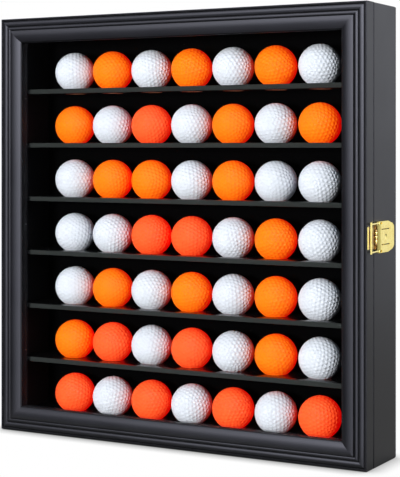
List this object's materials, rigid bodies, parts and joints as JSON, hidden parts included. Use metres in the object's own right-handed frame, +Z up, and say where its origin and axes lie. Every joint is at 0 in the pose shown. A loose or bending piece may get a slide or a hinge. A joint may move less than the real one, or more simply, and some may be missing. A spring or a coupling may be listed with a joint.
{
  "type": "golf ball display case",
  "caption": "Shallow glazed case with grooved shelves of seated golf balls, a moulded hinged door and a side toggle latch.",
  "frame": {"origin": "middle of the case's underside, halfway between the door's front edge and the back board's rear face", "axes": "+X to the right seen from the front, +Y from the door to the back, +Z up"},
  "size_m": [0.4311, 0.081, 0.44],
  "materials": {
    "black_lacquer": "satin black lacquer on wood",
    "back_black": "matt black hardboard",
    "shelf_black": "matt black painted board, raw brown at the cut seats",
    "black_felt": "black felt",
    "pad_felt": "soft stick-on pad",
    "clear_pane": "clear acrylic sheet",
    "ball": "glossy dimpled cover, white, orange and red-orange",
    "polished_brass": "bright yellow brass plate",
    "zinc_steel": "bright zinc",
    "raw_wood": "bare wood"
  },
  "bodies": {
    "cabinet": {"back_brads": "zinc_steel", "back_panel": "back_black", "ball_row_1": "ball", "ball_row_2": "ball", "ball_row_3": "ball", "ball_row_4": "ball", "ball_row_5": "ball", "ball_row_6": "ball", "ball_row_7": "ball", "base_ball_board": "shelf_black", "bottom_panel": "black_lacquer", "case_dowels": "raw_wood", "felt_lining": "black_felt", "hanger_nails": "zinc_steel", "hinge_leaves_case": "polished_brass", "hinge_pins": "polished_brass", "hinge_screws_case": "polished_brass", "latch_base": "polished_brass", "latch_base_screws": "polished_brass", "latch_lever_pin": "polished_brass", "shelf_1": "shelf_black", "shelf_2": "shelf_black", "shelf_3": "shelf_black", "shelf_4": "shelf_black", "shelf_5": "shelf_black", "shelf_6": "shelf_black", "side_panel_left": "black_lacquer", "side_panel_right": "black_lacquer", "top_panel": "black_lacquer", "wall_hangers": "zinc_steel"},
    "door": {"door_pads": "pad_felt", "door_rail_bottom": "black_lacquer", "door_rail_top": "black_lacquer", "door_stile_left": "black_lacquer", "door_stile_right": "black_lacquer", "glazing_bead_bottom": "black_lacquer", "glazing_bead_left": "black_lacquer", "glazing_bead_right": "black_lacquer", "glazing_bead_top": "black_lacquer", "glazing_pane": "clear_pane", "glazing_pins": "zinc_steel", "hinge_leaves_door": "polished_brass", "hinge_screws_door": "polished_brass", "latch_keeper": "polished_brass", "latch_keeper_screws": "polished_brass", "mitre_keys": "raw_wood"},
    "latch_lever": {"latch_lever": "polished_brass", "latch_loop_pin": "polished_brass"},
    "latch_loop": {"latch_loop": "polished_brass"}
  },
  "joints": [
    {"name": "door_swing", "type": "hinge", "parent": "cabinet", "child": "door", "pos_m": [-0.21344, -0.02032, 0.22], "axis": [0, 0, -1], "range_deg": [0, 170]},
    {"name": "lever_turn", "type": "hinge", "parent": "cabinet", "child": "latch_lever", "pos_m": [0.21274, -0.01843, 0.218], "axis": [0, 0, -1], "range_deg": [0, 120]},
    {"name": "loop_turn", "type": "hinge", "parent": "latch_lever", "child": "latch_loop", "pos_m": [0.21294, -0.01178, 0.218], "axis": [0, 0, -1], "range_deg": [-120, 0]}
  ],
  "couplings": [
    {"joint": "loop_turn", "follows": "lever_turn", "ratio": -1}
  ]
}
